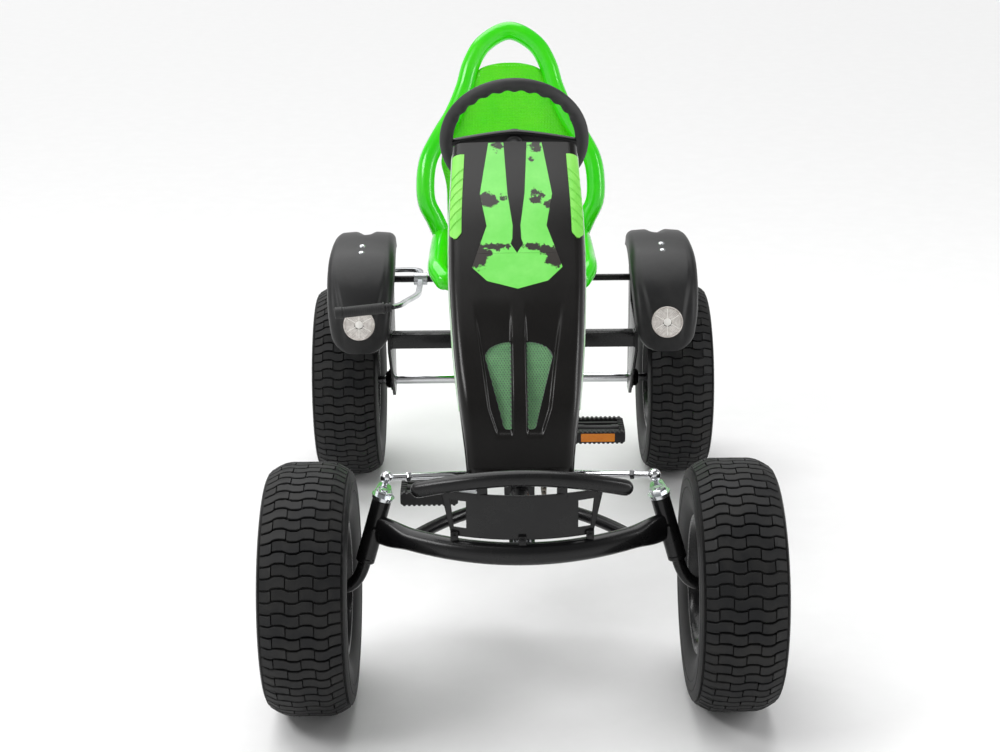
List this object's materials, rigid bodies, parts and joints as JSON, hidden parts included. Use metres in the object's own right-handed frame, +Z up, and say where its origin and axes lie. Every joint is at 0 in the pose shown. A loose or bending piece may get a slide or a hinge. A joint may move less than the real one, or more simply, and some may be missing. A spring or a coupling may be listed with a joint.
{
  "type": "pedal go kart",
  "caption": "Four-wheeled pedal go kart with wide turf tyres, steered pendulum front axle, crank and chain drive, sliding bucket seat, bonnet, rear fenders and hand brake.",
  "frame": {"origin": "on the ground, at the middle of the footprint", "axes": "+Z up; the kart faces -Y, so the driver's left is +X; +Y is its length, towards the seat"},
  "size_m": [0.822, 1.43, 0.9286],
  "materials": {
    "black_paint": "gloss black powder coat",
    "black_plastic": "satin black moulded plastic",
    "grip_black": "soft matt black",
    "tyre": "black rubber with a turf tread",
    "zinc": "bright zinc plate",
    "chain_steel": "oiled steel",
    "green_plastic": "gloss bright green",
    "vent_green": "light green insert",
    "mesh_green": "grey-green diamond mesh",
    "lens": "clear reflector"
  },
  "bodies": {
    "frame": {"frame_backbone": "black_paint", "rear_crossbar": "black_paint", "axle_plate_left": "black_paint", "axle_plate_right": "black_paint", "rear_bearing_left": "black_paint", "rear_bearing_right": "black_paint", "fender_rod": "black_paint", "fender_left": "black_plastic", "fender_right": "black_plastic", "fender_reflector_left": "lens", "fender_reflector_right": "lens", "seat_rail": "black_paint", "column_post": "black_paint", "column_bracket": "black_paint", "bonnet": "black_plastic", "grille_mesh_left": "mesh_green", "grille_mesh_right": "mesh_green", "side_vent_left": "vent_green", "side_vent_right": "vent_green", "chain": "chain_steel", "pivot_nut": "zinc"},
    "seat": {"seat_shell": "green_plastic", "seat_carriage": "black_paint"},
    "seat_knob": {"seat_knob": "black_plastic"},
    "front_axle": {"axle_beam": "black_paint", "axle_brace": "black_paint", "kingpin_housing_left": "black_paint", "kingpin_housing_right": "black_paint", "bumper_plate": "black_paint", "bumper_bar": "black_paint"},
    "knuckle_left": {"knuckle_left": "black_paint", "steering_arm_left": "zinc"},
    "knuckle_right": {"knuckle_right": "black_paint", "steering_arm_right": "zinc"},
    "tie_rod_left": {"tie_rod_left": "zinc"},
    "tie_rod_right": {"tie_rod_right": "zinc"},
    "front_wheel_left": {"front_tyre_left": "tyre", "front_rim_left": "black_paint"},
    "front_wheel_right": {"front_tyre_right": "tyre", "front_rim_right": "black_paint"},
    "steering_wheel": {"steering_wheel": "grip_black", "steering_shaft": "zinc"},
    "steering_lower": {"steering_lower_shaft": "zinc"},
    "crank": {"crank_spindle": "zinc", "crank_arm_left": "zinc", "crank_arm_right": "zinc", "chainring": "zinc"},
    "pedal_left": {"pedal_left": "black_plastic"},
    "pedal_right": {"pedal_right": "black_plastic"},
    "rear_axle": {"axle_shaft": "zinc", "rear_sprocket": "zinc", "rear_tyre_left": "tyre", "rear_rim_left": "black_paint"},
    "free_wheel": {"rear_tyre_right": "tyre", "rear_rim_right": "black_paint"},
    "brake": {"brake_lever": "zinc", "brake_grip": "grip_black"}
  },
  "joints": [
    {"name": "seat_slide", "type": "slide", "parent": "frame", "child": "seat", "axis": [0, -1, 0], "range_m": [0, 0.08]},
    {"name": "seat_clamp", "type": "hinge", "parent": "seat", "child": "seat_knob", "pos_m": [0, 0.345, 0.392], "axis": [1, 0, 0], "continuous": true},
    {"name": "axle_pendulum", "type": "hinge", "parent": "frame", "child": "front_axle", "pos_m": [0, -0.515, 0.3], "axis": [0, -1, 0], "range_deg": [-8, 8]},
    {"name": "steer", "type": "hinge", "parent": "frame", "child": "steering_wheel", "pos_m": [0, 0.045, 0.803], "axis": [0, 0.891, 0.454], "range_deg": [-28, 28]},
    {"name": "steer_lower", "type": "hinge", "parent": "frame", "child": "steering_lower", "pos_m": [0, -0.424, 0.374], "axis": [0, 0.674, 0.7387], "range_deg": [-28, 28]},
    {"name": "kingpin_left", "type": "hinge", "parent": "front_axle", "child": "knuckle_left", "pos_m": [0.23, -0.515, 0.302], "axis": [-0.2756, 0, 0.9613], "range_deg": [-28, 28]},
    {"name": "kingpin_right", "type": "hinge", "parent": "front_axle", "child": "knuckle_right", "pos_m": [-0.23, -0.515, 0.302], "axis": [0.2756, 0, 0.9613], "range_deg": [-28, 28]},
    {"name": "tie_ball_left", "type": "hinge", "parent": "knuckle_left", "child": "tie_rod_left", "pos_m": [0.21098, -0.47, 0.36833], "axis": [-0.2756, 0, 0.9613], "range_deg": [-28, 28]},
    {"name": "tie_ball_right", "type": "hinge", "parent": "knuckle_right", "child": "tie_rod_right", "pos_m": [-0.21098, -0.47, 0.36833], "axis": [0.2756, 0, 0.9613], "range_deg": [-28, 28]},
    {"name": "front_wheel_left_spin", "type": "hinge", "parent": "knuckle_left", "child": "front_wheel_left", "pos_m": [0.331, -0.515, 0.2], "axis": [1, 0, 0], "continuous": true},
    {"name": "front_wheel_right_spin", "type": "hinge", "parent": "knuckle_right", "child": "front_wheel_right", "pos_m": [-0.331, -0.515, 0.2], "axis": [1, 0, 0], "continuous": true},
    {"name": "rear_axle_spin", "type": "hinge", "parent": "frame", "child": "rear_axle", "pos_m": [0.343, 0.515, 0.2], "axis": [1, 0, 0], "continuous": true},
    {"name": "free_wheel_spin", "type": "hinge", "parent": "rear_axle", "child": "free_wheel", "pos_m": [-0.343, 0.515, 0.2], "axis": [1, 0, 0], "continuous": true},
    {"name": "crank_spin", "type": "hinge", "parent": "frame", "child": "crank", "pos_m": [0, -0.153, 0.275], "axis": [1, 0, 0], "continuous": true},
    {"name": "pedal_left_spin", "type": "hinge", "parent": "crank", "child": "pedal_left", "pos_m": [0.15, -0.011, 0.275], "axis": [1, 0, 0], "continuous": true},
    {"name": "pedal_right_spin", "type": "hinge", "parent": "crank", "child": "pedal_right", "pos_m": [-0.15, -0.295, 0.275], "axis": [1, 0, 0], "continuous": true},
    {"name": "brake_pull", "type": "hinge", "parent": "frame", "child": "brake", "pos_m": [-0.19, 0.515, 0.421], "axis": [-1, 0, 0], "range_deg": [0, 9]}
  ],
  "couplings": [
    {"joint": "steer_lower", "follows": "steer", "ratio": 1},
    {"joint": "kingpin_left", "follows": "steer", "ratio": 1},
    {"joint": "kingpin_right", "follows": "steer", "ratio": 1},
    {"joint": "tie_ball_left", "follows": "steer", "ratio": -1},
    {"joint": "tie_ball_right", "follows": "steer", "ratio": -1},
    {"joint": "crank_spin", "follows": "rear_axle_spin", "ratio": 0.4375}
  ]
}
